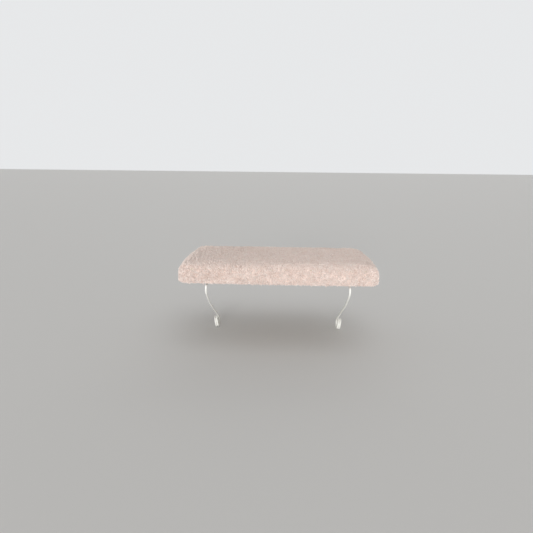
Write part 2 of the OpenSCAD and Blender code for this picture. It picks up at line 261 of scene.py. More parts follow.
def foam_tree():
    """Peaks and dips alternate like a chequerboard; the plan corners are rounded to an arc."""
    tree, given = geometry_tree(
        "convoluted_foam",
        Vector="Size, Centre",
        Float="Corner radius, Dip height",
        Int="Half cells X, Half cells Y",
        Material="Foam",
    )
    steps = 5
    block = add(
        tree,
        "GeometryNodeMeshCube",
        Size=given["Size"],
        Vertices_X=number(tree, "MULTIPLY_ADD", given["Half cells X"], steps, 1),
        Vertices_Y=number(tree, "MULTIPLY_ADD", given["Half cells Y"], steps, 1),
        Vertices_Z=2,
    )
    place = add(tree, "GeometryNodeInputPosition").outputs["Position"]
    size = add(tree, "ShaderNodeSeparateXYZ", Vector=given["Size"]).outputs
    point = add(tree, "ShaderNodeSeparateXYZ", Vector=place).outputs
    waves = []
    for axis, cells in (("X", "Half cells X"), ("Y", "Half cells Y")):
        along = number(tree, "ADD", number(tree, "DIVIDE", point[axis], size[axis]), 0.5)
        turns = times(tree, times(tree, along, given[cells]), math.pi)
        waves.append(number(tree, "COSINE", turns))
    wave = number(tree, "MULTIPLY_ADD", times(tree, *waves), 0.5, 0.5)
    rise = number(tree, "SUBTRACT", size["Z"], given["Dip height"])
    top = number(tree, "MULTIPLY_ADD", wave, rise, given["Dip height"])
    is_top = number(tree, "GREATER_THAN", point["Z"], 0.0)
    height = times(tree, is_top, top)
    flat = vector(tree, "MULTIPLY", place, (1, 1, 0))
    away = vector(tree, "ABSOLUTE", flat)
    half = vector(tree, "MULTIPLY", given["Size"], (0.5, 0.5, 0))
    radius = xyz(tree, X=given["Corner radius"], Y=given["Corner radius"])
    core = vector(tree, "SUBTRACT", half, radius)
    past = vector(tree, "MAXIMUM", vector(tree, "SUBTRACT", away, core), (0, 0, 0))
    reach = number(tree, "MAXIMUM", vector(tree, "LENGTH", past), given["Corner radius"])
    share = number(tree, "DIVIDE", given["Corner radius"], reach)
    pulled = vector(tree, "MULTIPLY", past, xyz(tree, X=share, Y=share))
    rounded = vector(tree, "ADD", vector(tree, "MINIMUM", away, core), pulled)
    signed = vector(tree, "MULTIPLY", rounded, vector(tree, "SIGN", flat))
    lifted = vector(tree, "ADD", signed, xyz(tree, Z=height))
    spot = vector(tree, "ADD", lifted, given["Centre"])
    moved = add(tree, "GeometryNodeSetPosition", Geometry=block.outputs["Mesh"], Position=spot)
    end_tree(tree, smoothed(tree, moved.outputs["Geometry"]), given["Foam"])
    return tree


foam_low, foam_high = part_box("foam_pad")
foam_size = foam_high - foam_low
foam_pitch = 0.040
foam_corner = 0.0367
foam_dip_height = 0.011
cream_foam = new_material("cream_foam", 0.95, Sheen_Weight=0.2)
cells = speckle(cream_foam, 1300, 4.0, 0.75)
colour_along(cream_foam, cells, (0.35, (0.62, 0.48, 0.36)), (0.65, (0.80, 0.70, 0.60)))
raise_by(cream_foam, cells, 0.6, 0.0006)
foam = made_by(
    foam_tree(),
    "convoluted_foam",
    bpy.data.meshes.new("no_start"),
    Size=foam_size,
    Centre=((foam_low.x + foam_high.x) / 2, (foam_low.y + foam_high.y) / 2, foam_low.z),
    Corner_radius=foam_corner,
    Dip_height=foam_dip_height,
    Half_cells_X=2 * round(foam_size.x / foam_pitch),
    Half_cells_Y=2 * round(foam_size.y / foam_pitch),
    Foam=cream_foam,
)
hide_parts("foam_pad")
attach(foam, "shelf")


# Fleece cover. A removable, washable cover sewn from pale sheepskin-like fleece: a knitted
# backing with a short curly pile, a dart seam at each corner, and a turn-under with gathers
# towards its hem. Cloth simulation swells it a little over the foam.
pile_length = 0.0044
pile_depth = 0.0034
backing = 0.0011
corner_radius = 0.045
front_corner_radius = 0.030
top_edge_radius = 0.024
lower_edge_radius = 0.010
turn_under = 0.050
edge_droop = 0.002
crown = 0.003
crown_reach = 0.130
end_bow = 0.0075
front_bow = 0.003
bow_reach = 0.060
side_bulge = 0.0008
seam_angle = math.radians(48)
dart_start = 0.014
dart_width = 0.0028
dart_depth = 0.0016
gather_pitch = 0.012
gather_height = 0.0009
gather_start = 0.010
gather_fade = 0.030
gather_sway = 2.5
gather_sways = 7
# what the hem holds down, from its inner edge outwards, and how firmly
hem_reach = 0.014
hem_hold = 0.7
hem_clearance = 0.0001
hold_fade = 0.005
# shares of the pile's depth that the underside and the edges draw back
low_sink = 0.4
edge_sink = 0.3
# what stands higher is on the side, and what faces down more steeply is on the underside
side_start = 0.006
facing_down = -0.5
flat_underside = -0.8
strip_low, strip_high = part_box("sill_loop_strip")
edge_height = cover_high.z - cover_low.z - crown
cover_half = Vector((0.310, 0.1725))
cover_middle = front_edge_y + cover_half.y
quarters = ((1, 1), (-1, 1), (-1, -1), (1, -1))


def round_ring(inset, height, bow_share, steps=14, least_radius=0.006):
    """One ring of points round the cover's plan; its ends and its front bow out a little."""
    corners = []
    for sx, sy in quarters:
        radius = (corner_radius if sy > 0 else front_corner_radius) - inset
        radius = max(radius, least_radius)
        core = (sx * (cover_half.x - inset - radius), sy * (cover_half.y - inset - radius))
        corners.append((*core, radius))
    ring = []
    for quarter, (core_x, core_y, radius) in enumerate(corners):
        for step in range(steps + 1):
            angle = math.pi / 2 * (quarter + step / steps)
            ring.append((core_x + radius * math.cos(angle), core_y + radius * math.sin(angle)))
        end = ring[-1]
        next_x, next_y, next_radius = corners[(quarter + 1) % 4]
        begin = (next_x + next_radius * math.cos(angle), next_y + next_radius * math.sin(angle))
        bow = ((0, 0), (-end_bow, 0), (0, -front_bow), (end_bow, 0))[quarter]
        for step in range(1, 4 * steps):
            t = step / (4 * steps)
            rise = bow_share * 4 * t * (1 - t)
            ring.append(tuple(end[k] * (1 - t) + begin[k] * t + bow[k] * rise for k in (0, 1)))
    return [(x, cover_middle + y, height) for x, y in ring]


def skin_rings(sink):
    """Rings from the middle of the cover's top over its edges to the middle of its underside."""

    def crown_at(inset):
        """How far the top stands above its edge."""
        return crown * (1 - (1 - min(inset, crown_reach) / crown_reach) ** 2)

    top, low = cover_low.z + edge_height - sink, cover_low.z + sink * low_sink
    edge, lower = top_edge_radius - sink * edge_sink, lower_edge_radius - sink * edge_sink
    rings = []
    for inset in (0.168, 0.140, 0.115, 0.090, 0.068, 0.050, 0.036, 0.026):
        rings.append(round_ring(inset + sink, top + crown_at(inset), max(0, 1 - inset / bow_reach)))
    for step in range(9):
        angle = math.pi / 2 * (1 - step / 8)
        inset = edge * (1 - math.cos(angle))
        height = top + crown_at(inset) - edge * (1 - math.sin(angle))
        rings.append(round_ring(inset + sink, height, 1 - inset / bow_reach))
    for share in (0.33, 0.66):
        height = (top - edge) * (1 - share) + (low + lower) * share
        rings.append(round_ring(sink - side_bulge, height, 1.0))
    for step in range(6):
        angle = math.pi / 2 * step / 5
        inset = lower * (1 - math.cos(angle))
        height = low - edge_droop + lower * (1 - math.sin(angle))
        rings.append(round_ring(inset + sink, height, 1 - inset / bow_reach))
    for inset, droop in ((0.020, 0.9), (0.032, 0.4), (0.045, 0.0), (0.100, 0.0), (0.150, 0.0)):
        rings.append(round_ring(inset + sink, low - edge_droop * droop, 0.0))
    return rings


def skin_mesh(name, rings):
    """A closed mesh through rings of points, with an end face at each end."""
    count = len(rings[0])
    points = [point for ring in rings for point in ring]
    faces = [tuple(range(count)), tuple(range(len(points) - count, len(points)))]
    for first in range(0, len(points) - count, count):
        for k in range(count):
            m = (k + 1) % count
            faces.append((first + k, first + m, first + count + m, first + count + k))
    mesh = bpy.data.meshes.new(name)
    mesh.from_pydata(points, [], faces)
    shell = bmesh.new()
    shell.from_mesh(mesh)
    bmesh.ops.recalc_face_normals(shell, faces=shell.faces)
    shell.to_mesh(mesh)
    shell.free()
    return mesh


def settle(piece):
    """Applies a piece's modifiers to its mesh."""
    depsgraph = bpy.context.evaluated_depsgraph_get()
    mesh = bpy.data.meshes.new_from_object(piece.evaluated_get(depsgraph), depsgraph=depsgraph)
    piece.modifiers.clear()
    piece.data = mesh


def points_of(mesh, kind="vertices", value="co"):
    """Coordinates or normals of a mesh as an array of rows."""
    items = getattr(mesh, kind)
    flat = np.empty(len(items) * 3, np.float32)
    items.foreach_get(value, flat)
    return flat.reshape(-1, 3).astype(float)


def swell(piece, held_below, pressure, most, steps=20):
    """Blows a closed cloth up a little; its underside is held and no point moves past a cap."""
    before = points_of(piece.data)
    held = piece.vertex_groups.new(name="held")
    held.add([int(i) for i in np.nonzero(before[:, 2] < held_below)[0]], 1.0, "REPLACE")
    cloth = piece.modifiers.new("cloth", "CLOTH")
    cloth.settings.use_pressure = True
    cloth.settings.uniform_pressure_force = pressure
    cloth.settings.effector_weights.gravity = 0
    cloth.settings.vertex_group_mass = "held"
    cloth.point_cache.frame_start = 1
    cloth.point_cache.frame_end = steps
    for step in range(1, steps + 1):
        bpy.context.scene.frame_set(step)
    settle(piece)
    bpy.context.scene.frame_set(1)
    move = points_of(piece.data) - before
    length = np.maximum(np.linalg.norm(move, axis=1, keepdims=True), 1e-9)
    after = before + move * (most * np.tanh(length / most) / length)
    piece.data.vertices.foreach_set("co", after.astype(np.float32).ravel())
    piece.vertex_groups.clear()


def unevenness(points, scale, seed):
    """Smooth noise between about -1 and 1 at each point."""
    shift = Vector((seed * 1.7, seed * 3.1, seed * 5.3))
    return np.array([noise.noise(Vector(point) * scale + shift) for point in points])


def seam_distance(points):
    """How far each point is from the nearest corner dart, measured across the dart."""
    core = np.array((cover_half.x - corner_radius, cover_half.y - corner_radius))
    x, y = np.abs(points[:, 0]) - core[0], np.abs(points[:, 1] - cover_middle) - core[1]
    across = np.abs(x * math.cos(seam_angle) - y * math.sin(seam_angle))
    reach = x * math.sin(seam_angle) + y * math.cos(seam_angle)
    return np.where(reach > dart_start, across, 1.0)


def from_edge(points):
    """How far each point lies inside the cover's plain outline, measured level."""
    edge_x = cover_half.x - np.abs(points[:, 0])
    edge_y = cover_half.y - np.abs(points[:, 1] - cover_middle)
    return edge_x, edge_y


def held_down(points):
    """How firmly the hem band or the sill strip holds each point of the underside, 0 to 1."""
    inset = np.minimum(*from_edge(points))
    under_hem = np.clip((inset - turn_under + hem_reach) / hold_fade, 0, 1)
    past_strip = np.maximum(
        np.abs(points[:, 0]) - strip_high.x,
        np.maximum(strip_low.y - points[:, 1], points[:, 1] - strip_high.y),
    )
    under_strip = np.clip(1 - past_strip / hold_fade, 0, 1)
    return np.maximum(under_hem * hem_hold, under_strip)


# the knitted backing starts inside the pile
cover = put("fleece_cover_backing", skin_mesh("fleece_cover_backing", skin_rings(pile_depth)))
remesh = cover.modifiers.new("even_quads", "REMESH")
remesh.mode = "VOXEL"
remesh.voxel_size = 0.0058
settle(cover)
swell(cover, held_below=cover_low.z + 0.0018, pressure=4.0, most=0.0022)
subdivision = cover.modifiers.new("finer", "SUBSURF")
subdivision.levels = subdivision.render_levels = 1
settle(cover)

points = points_of(cover.data)
normals = points_of(cover.data, "vertex_normals", "vector")
side = np.clip((points[:, 2] - cover_low.z) / side_start, 0, 1)
offset = sum(
    height * unevenness(points, scale, seed)
    for height, scale, seed in ((0.0011, 24, 1), (0.0005, 70, 2), (0.00045, 210, 3))
)
offset -= dart_depth * np.exp(-((seam_distance(points) / dart_width) ** 2))
points += normals * (offset * side)[:, None]

# under the board the hem's gathers fan out, and the sewn band and strip hold the backing down
edge_x, edge_y = from_edge(points)
around = np.arctan2(points[:, 1] - cover_middle, points[:, 0])
along = np.where(edge_x < edge_y, points[:, 1], points[:, 0])
sway = gather_sway * np.sin(around * gather_sways)
folds = np.sin(math.tau * along / gather_pitch + sway)
underside = (1 - side) * (normals[:, 2] < facing_down)
fanned = np.clip((np.minimum(edge_x, edge_y) - gather_start) / gather_fade, 0, 1)
points[:, 2] += underside * gather_height * folds * fanned
points[:, 2] += underside * held_down(points) * (cover_low.z + hem_clearance - points[:, 2])
cover.data.vertices.foreach_set("co", points.astype(np.float32).ravel())

shell = bmesh.new()
shell.from_mesh(cover.data)
opening = (cover_half.x - turn_under, cover_half.y - turn_under)
for axis in (0, 1):
    for sign in (-1, 1):
        spot = [0.0, cover_middle, 0.0]
        spot[axis] += sign * opening[axis]
        facing = [0.0, 0.0, 0.0]
        facing[axis] = 1.0
        low = [f for f in shell.faces if f.normal.z < flat_underside]
        low += [*{e for f in low for e in f.edges}, *{v for f in low for v in f.verts}]
        bmesh.ops.bisect_plane(shell, geom=low, plane_co=spot, plane_no=facing)
inside = [
    f
    for f in shell.faces
    if f.normal.z < flat_underside
    and abs(f.calc_center_median().x) < opening[0]
    and abs(f.calc_center_median().y - cover_middle) < opening[1]
]
bmesh.ops.delete(shell, geom=inside, context="FACES")
shell.to_mesh(cover.data)
shell.free()
for polygon in cover.data.polygons:
    polygon.use_smooth = True


def fleece_material():
    """Pale pinkish-beige wool look, with painted shade: darker towards the roots between the curls,
    lighter and warmer at the tips.
    """
    material = new_material("fleece", 0.95, Sheen_Weight=0.1, Sheen_Roughness=0.5)
    tree = material.node_tree
    tip = add(tree, "ShaderNodeAttribute", {"attribute_name": "tip"}).outputs["Fac"]
    tone = add(tree, "ShaderNodeAttribute", {"attribute_name": "tone"}).outputs["Fac"]
    patches = speckle(material, 55, 4.0, 0.85)
    tufts = speckle(material, 210, 3.0, 0.7)
    # a lock's tip value paints shade towards its roots; tone, patches and tufts are the wool's own
    # mottling
    value = -1.03
    for part, weight in ((tip, 0.30), (tone, 0.15), (patches, 1.2), (tufts, 1.5)):
        value = number(tree, "MULTIPLY_ADD", part, weight, value)
    colour_along(
        material,
        value,
        (0.00, (0.64, 0.49, 0.42)),
        (0.22, (0.85, 0.70, 0.63)),
        (0.55, (0.95, 0.82, 0.76)),
        (0.90, (0.98, 0.90, 0.85)),
    )
    return material


def stored(tree, geometry, name, value):
    """Keeps a number at each point under a name, for a material or a later node to read."""
    return add(
        tree,
        "GeometryNodeStoreNamedAttribute",
        {"data_type": "FLOAT", "domain": "POINT"},
        Geometry=geometry,
        Name=name,
        Value=value,
    ).outputs["Geometry"]


def read_back(tree, name):
    """The number that a surface or a point has under a name."""
    kind, settings = "GeometryNodeInputNamedAttribute", {"data_type": "FLOAT"}
    return add(tree, kind, settings, Name=name).outputs["Attribute"]


def random_number(tree, low, high, seed):
    """For each point a number between two limits."""
    node = add(tree, "FunctionNodeRandomValue", Min_001=low, Max_001=high, Seed=seed)
    return socket(node.outputs, "Value_001")


def random_vector(tree, low, high, seed):
    """For each point a vector between two limits."""
    kind, settings = "FunctionNodeRandomValue", {"data_type": "FLOAT_VECTOR"}
    return socket(add(tree, kind, settings, Min=low, Max=high, Seed=seed).outputs, "Value")


def round_bar(tree, path, radius, sides, **more):
    """Sweeps a circle along a curve and closes its ends."""
    circle = add(tree, "GeometryNodeCurvePrimitiveCircle", Resolution=sides, Radius=radius)
    return add(
        tree,
        "GeometryNodeCurveToMesh",
        Curve=path,
        Profile_Curve=circle.outputs["Curve"],
        Fill_Caps=True,
        **more,
    ).outputs["Mesh"]


def turned_by(tree, rotation, angles, space="LOCAL"):
    """A rotation turned further, by angles about X, Y and Z."""
    return add(
        tree,
        "FunctionNodeRotateRotation",
        {"rotation_space": space},
        Rotation=rotation,
        Rotate_By=add(tree, "FunctionNodeEulerToRotation", Euler=angles).outputs["Rotation"],
    ).outputs["Rotation"]


def copies_on(tree, points, shape, **more):
    """A copy of a shape on each point."""
    kind = "GeometryNodeInstanceOnPoints"
    return add(tree, kind, Points=points, Instance=shape, **more).outputs["Instances"]


def pile_tree():
    """Scatters curled locks of pile over a surface, as long as its attribute pile says."""
    tree, given = geometry_tree(
        "sheepskin_pile",
        Float="Locks per area, Closest, Lock length, Lock width, Curl radius, Lean, "
        "Clumps per metre, Combing",
        Int="Seed",
        Material="Fleece",
    )
    taper = 0.55
    combing_scale = 0.6
    clump_swing = 1.6
    clump_least = 0.20
    width_share = 0.6
    seed, lean, curl = given["Seed"], given["Lean"], given["Curl radius"]
    scattered = add(
        tree,
        "GeometryNodeDistributePointsOnFaces",
        {"distribute_method": "POISSON"},
        Mesh=given["Geometry"],
        Distance_Min=given["Closest"],
        Density_Max=given["Locks per area"],
        Density_Factor=read_back(tree, "thick"),
        Seed=seed,
    ).outputs
    toned = stored(tree, scattered["Points"], "tone", random_number(tree, 0.0, 1.0, seed))
    strand = add(
        tree,
        "GeometryNodeCurveSpiral",
        Resolution=5,
        Rotations=0.75,
        Start_Radius=times(tree, curl, 0.5),
        End_Radius=curl,
        Height=given["Lock length"],
    )
    along = add(tree, "GeometryNodeSplineParameter").outputs["Factor"]
    thinned = times(tree, number(tree, "POWER", along, 2.0), taper)
    lock = round_bar(
        tree,
        stored(tree, strand.outputs["Curve"], "tip", along),
        times(tree, given["Lock width"], 0.5),
        3,
        Scale=number(tree, "SUBTRACT", 1.0, thinned),
    )
    most = xyz(tree, X=lean, Y=lean, Z=math.pi)
    least = vector(tree, "MULTIPLY", most, (-1, -1, -1))
    angles = random_vector(tree, least, most, number(tree, "ADD", seed, 11))
    coarse = times(tree, given["Clumps per metre"], combing_scale)
    drift = add(tree, "ShaderNodeTexNoise", Scale=coarse, Detail=1.0)
    combed = vector(
        tree,
        "MULTIPLY",
        vector(tree, "SUBTRACT", drift.outputs["Color"], (0.5, 0.5, 0.5)),
        xyz(tree, X=given["Combing"], Y=given["Combing"]),
    )
    # the curl is turned about its own length first, then the whole lock tips over
    spin = vector(tree, "MULTIPLY", angles, (0, 0, 1))
    tilt = vector(tree, "ADD", vector(tree, "MULTIPLY", angles, (1, 1, 0)), combed)
    turned = turned_by(tree, turned_by(tree, scattered["Rotation"], tilt), spin)
    clumps = add(tree, "ShaderNodeTexNoise", Scale=given["Clumps per metre"], Detail=2.0)
    clump = number(tree, "MULTIPLY_ADD", clumps.outputs["Fac"], clump_swing, clump_least)
    varied = random_number(tree, 0.85, 1.15, number(tree, "ADD", seed, 23))
    share = times(tree, varied, clump)
    tall = times(tree, share, read_back(tree, "pile"))
    wide = number(tree, "MULTIPLY_ADD", tall, width_share, 1 - width_share)
    size = xyz(tree, X=wide, Y=wide, Z=tall)
    locks = copies_on(tree, toned, smoothed(tree, lock), Rotation=turned, Scale=size)
    end_tree(tree, locks, given["Fleece"])
    return tree


def only_faces(mesh, keep, name):
    """A copy of a mesh with just the faces whose centre passes a test."""
    part = bmesh.new()
    part.from_mesh(mesh)
    gone = [f for f in part.faces if not keep(f.calc_center_median(), f.normal)]
    bmesh.ops.delete(part, geom=gone, context="FACES")
    copy = bpy.data.meshes.new(name)
    part.to_mesh(copy)
    part.free()
    return copy


fleece = fleece_material()
points = points_of(cover.data)
normals = points_of(cover.data, "vertex_normals", "vector")
seam_pile_width = 0.003
seam_pile_loss = 0.55
under_pile = 0.40
# the backing's tip value lies below the locks' roots: painted shade, as deep as the shade between
# the curls
backing_painted_shade = -0.35
backing_tone = 0.3
near_seam = np.exp(-((seam_distance(points) / seam_pile_width) ** 2))
shorter = np.where(normals[:, 2] < flat_underside, under_pile, 1.0)
bare = (held_down(points) > 0.5) & (normals[:, 2] < facing_down)
for name, values in (
    ("pile", shorter * (1 - seam_pile_loss * near_seam)),
    ("thick", np.where(bare, 0.0, 1.0)),
    ("tip", np.full(len(points), backing_painted_shade)),
    ("tone", np.full(len(points), backing_tone)),
):
    attribute = cover.data.attributes.new(name, "FLOAT", "POINT")
    attribute.data.foreach_set("value", np.asarray(values, np.float32))

pile_shape = pile_tree()
top_strips = 6
end_reach = 0.12
top_tilt = 0.5
under_tilt = -0.7


def on_side(normal):
    """Whether a face belongs to the cover's sides."""
    return under_tilt < normal.z <= top_tilt


regions = {
    "front": lambda c, n: on_side(n) and c.y < cover_middle - end_reach,
    "left_end": lambda c, n: on_side(n) and abs(c.y - cover_middle) <= end_reach and c.x < 0,
    "right_end": lambda c, n: on_side(n) and abs(c.y - cover_middle) <= end_reach and c.x >= 0,
    "back": lambda c, n: on_side(n) and c.y > cover_middle + end_reach,
    "turn_under_front": lambda c, n: n.z <= under_tilt and c.y < cover_middle,
    "turn_under_back": lambda c, n: n.z <= under_tilt and c.y >= cover_middle,
}
cuts = [cover_half.x * (2 * k / top_strips - 1) for k in range(1, top_strips)]
for k, (low, high) in enumerate(zip([-1] + cuts, cuts + [1])):
    regions["top_" + str(k + 1)] = lambda c, n, a=low, b=high: n.z > top_tilt and a <= c.x < b
for order, (region, belongs) in enumerate(regions.items()):
    patch = only_faces(cover.data, belongs, "pile_patch_" + region)
    pile = made_by(
        pile_shape,
        "fleece_pile_" + region,
        patch,
        Locks_per_area=350000.0,
        Closest=0.0014,
        Lock_length=pile_length,
        Lock_width=0.0024,
        Curl_radius=0.0012,
        Lean=0.5,
        Clumps_per_metre=140.0,
        Combing=3.2,
        Seed=7 + order,
        Fleece=fleece,
    )
    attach(pile, "shelf")

cover.data.materials.append(fleece)
thickness = cover.modifiers.new("backing", "SOLIDIFY")
thickness.thickness = backing
thickness.offset = -1
settle(cover)
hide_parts("fleece_cover")
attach(cover, "shelf")


# Holders. Four moulded nylon blocks, each screwed up into the board by two ears. The front pair
# hold the split bushes and the rear pair clamp the rods, so all four share one plastic.
def moulded_plastic(name, colour, roughness, grain=1400):
    """Plastic of one colour with slow changes of tone and the fine grain of its mould."""
    dark = tuple(0.9 * c for c in colour)
    return speckled(name, roughness, dark, colour, (40, 2.0), (0.12, 0.0002), (grain, 2.0))


holder_nylon = moulded_plastic("holder_nylon", (0.74, 0.71, 0.62), 0.42)
dress(holder_nylon, "left_front_block", "left_rear_block", "right_front_block", "right_rear_block")


# Bushes. Thin split sleeves of harder white nylon that snap into the front holders; the rods
# slide through them and turn with them.
bush_nylon = moulded_plastic("bush_nylon", (0.86, 0.86, 0.84), 0.3)
dress(bush_nylon, "left_bush", "right_bush")


# Screws and nuts. Zinc-plated steel: eight countersunk wood screws hold the holders to the board,
# and a captive nut lies in a pocket of each rear holder.
zinc_plate = speckled(
    "zinc_plate", 0.32, dark=(0.55, 0.56, 0.58), light=(0.74, 0.74, 0.73),
    marks=(300, 3.0), relief=(0.1, 0.0001), grain=(2500, 2.0), metallic=1.0,
)
dress(zinc_plate, "block_screws", "left_clamp_nut", "right_clamp_nut")


# Clamp screws. A black scalloped knob moulded on each stud, with a fine spark-eroded grain. The
# stud runs up through the captive nut and presses on the rod.
knob_black = moulded_plastic("knob_black", (0.030, 0.030, 0.032), 0.5, 2600)
dress(knob_black, "left_clamp_screw", "right_clamp_screw")


# Legs. Each is one 6 mm steel rod, bent cold and powder coated off-white: a straight top run
# under the board, a hook under the front edge, a knee, a long easy curve, a straight end, and an
# eye of about two turns lying side by side that stands against the wall.
rod_radius = 0.003
hook_radius = 0.009
knee_radius = 0.023
sweep_radius = 0.570
sweep_start = math.radians(42)
straight_slope = math.radians(30.5)
straight_length = 0.190
eye_radius = 0.0175
eye_gap = 0.0004
eye_last = math.radians(158)
eye_end_angles = (20, 40, 60, 78)
turn_steps = 96


def rod_path(steps_per_turn):
    """The bent part of a leg in its own frame: x along the rod, y to its left, z outward."""
    eye_lean = math.asin((rod_radius + eye_gap / 2) / eye_radius)
    moves = (
        (hook_radius, math.pi / 2, 0),
        (knee_radius, math.pi / 2 - sweep_start, 0),
        (sweep_radius, sweep_start - straight_slope, 0),
        (0, straight_length, 0),
        (-eye_radius, math.pi, 0),
        (-eye_radius, math.pi, eye_lean),
        (-eye_radius, math.pi, 0),
        (-eye_radius, eye_last, eye_lean),
    )
    heading = Matrix.Identity(4)
    path = [heading.translation.copy()]
    for radius, amount, lean in moves:
        steps = 1 if radius == 0 else max(8, round(steps_per_turn * amount / math.tau))
        tipped = Matrix.Rotation(lean, 4, "X")
        for step in range(1, steps + 1):
            part = amount * step / steps
            if radius == 0:
                move = Matrix.Translation((part, 0, 0))
            else:
                centre = Matrix.Translation((0, radius, 0))
                turn = Matrix.Rotation(math.copysign(part, radius), 4, "Z")
                move = centre @ turn @ centre.inverted()
            path.append((heading @ tipped @ move).translation)
        heading = heading @ tipped @ move @ tipped
    return path, heading


def rod_tree():
    """Sweeps a round bar along a curve, as thick at each point as the curve's radius says."""
    tree, given = geometry_tree("bent_rod", Float="Rod radius", Int="Sides", Material="Coat")
    thickness = add(tree, "GeometryNodeInputRadius").outputs["Radius"]
    bar = round_bar(tree, given["Geometry"], given["Rod radius"], given["Sides"], Scale=thickness)
    end_tree(tree, smoothed(tree, bar), given["Coat"])
    return tree


def curve_through(name, path):
    """A curve of straight pieces through a list of points."""
    curve = bpy.data.curves.new(name, "CURVE")
    curve.dimensions = "3D"
    points = curve.splines.new("POLY").points
    points.add(len(path) - 1)
    for point, spot in zip(points, path):
        point.co = (*spot, 1)
    return curve


powder_coat = speckled(
    "powder_coat", 0.34, dark=(0.90, 0.90, 0.85), light=(0.94, 0.94, 0.90),
    marks=(60, 2.0), relief=(0.15, 0.0003), grain=(900, 2.0), Coat_Weight=0.15,
)
rod_shape = rod_tree()
bends, tip = rod_path(turn_steps)
for side_name, outward in (("left", -1), ("right", 1)):
    leg_low, leg_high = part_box(side_name + "_leg")
    axis_x = leg_low.x + rod_radius if outward > 0 else leg_high.x - rod_radius
    axis_z = leg_high.z - rod_radius
    bend_y = leg_low.y + rod_radius + hook_radius
    place = Matrix.Translation((axis_x, bend_y, axis_z)) @ Matrix(
        ((0, 0, -outward, 0), (-1, 0, 0, 0), (0, -1, 0, 0), (0, 0, 0, 1))
    )
    thick = [1.0] * (len(bends) + 1)
    path = [Vector((axis_x, leg_high.y, axis_z))] + [place @ p for p in bends]
    # the rod's end is rounded over in a few steps
    for angle in eye_end_angles:
        share = math.radians(angle)
        path.append(place @ tip @ Vector((rod_radius * math.sin(share), 0, 0)))
        thick.append(math.cos(share))
    curve = curve_through(side_name + "_leg_path", path)
    for point, radius in zip(curve.splines[0].points, thick):
        point.radius = radius
    leg = made_by(
        rod_shape,
        side_name + "_rod",
        curve,
        Rod_radius=rod_radius,
        Sides=28,
        Coat=powder_coat,
    )
    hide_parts(side_name + "_leg")
    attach(leg, side_name + "_rod")


# Rod caps. Soft white vinyl, dipped, pushed on the back ends of the rods. They also keep the rods
# from being pulled out.
soft_vinyl = moulded_plastic("soft_vinyl", (0.80, 0.80, 0.77), 0.55)
dress(soft_vinyl, "left_rod_cap", "right_rod_cap")


# Hem band. Braided elastic sewn flat under the hem with a zigzag seam while it was stretched, so
# that it ruffles the hem and draws the cover under the board.
hem_low, hem_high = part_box("hem_elastic")
hem_width = 0.008
hem_corner = 0.010
hem_thickness = hem_high.z - hem_low.z
ruffle_height = 0.0007
ruffle_pitch = 0.0065
stitch_pitch = 0.003
stitch_width = 0.004
stitch_drop = 0.0002
thread_radius = 0.0003
rib_pitch = 0.0011


def rounded_rectangle(middle, half, radius, steps):
    """Points round a rectangle whose corners are arcs."""
    points = []
    for quarter, (sx, sy) in enumerate(quarters):
        for step in range(steps + 1):
            angle = math.pi / 2 * (quarter + step / steps)
            x = sx * (half.x - radius) + radius * math.cos(angle)
            y = sy * (half.y - radius) + radius * math.sin(angle)
            points.append((middle.x + x, middle.y + y))
    return points


def hem_path(name, height):
    """A closed rounded rectangle along the middle of the band, at one height."""
    half = (hem_high - hem_low - Vector((hem_width, hem_width, 0))) / 2
    plan = rounded_rectangle((hem_low + hem_high) / 2, half, hem_corner, 12)
    curve = curve_through(name, [(*spot, height) for spot in plan])
    curve.twist_mode = "Z_UP"
    curve.splines[0].use_cyclic_u = True
    return curve


def band_tree():
    """Sweeps a flat band along a closed path and ruffles it."""
    tree, given = geometry_tree(
        "ruffled_band", Float="Width, Thickness, Ruffle height, Ruffle pitch", Material="Webbing"
    )
    band_step = 0.0012
    edge_rounding = 0.35
    sway_pace = 97.0
    sway_reach = 1.6
    fine = add(
        tree,
        "GeometryNodeResampleCurve",
        {"mode": "LENGTH"},
        Curve=given["Geometry"],
        Length=band_step,
    )
    length = add(tree, "GeometryNodeSplineParameter").outputs["Length"]
    width, height = given["Width"], given["Thickness"]
    flat = add(tree, "GeometryNodeCurvePrimitiveQuadrilateral", Width=width, Height=height)
    rounding = times(tree, height, edge_rounding)
    rounded = add(tree, "GeometryNodeFilletCurve", Curve=flat.outputs["Curve"], Radius=rounding)
    swept = add(
        tree,
        "GeometryNodeCurveToMesh",
        Curve=stored(tree, fine.outputs["Curve"], "along", length),
        Profile_Curve=rounded.outputs["Curve"],
    )
    along = read_back(tree, "along")
    turn = times(tree, number(tree, "DIVIDE", along, given["Ruffle pitch"]), math.tau)
    sway = times(tree, number(tree, "SINE", times(tree, along, sway_pace)), sway_reach)
    wave = number(tree, "SINE", number(tree, "ADD", turn, sway))
    fall = times(tree, wave, times(tree, given["Ruffle height"], 0.5))
    drop = xyz(tree, Z=fall)
    ruffled = add(tree, "GeometryNodeSetPosition", Geometry=swept.outputs["Mesh"], Offset=drop)
    end_tree(tree, smoothed(tree, ruffled.outputs["Geometry"]), given["Webbing"])
    return tree


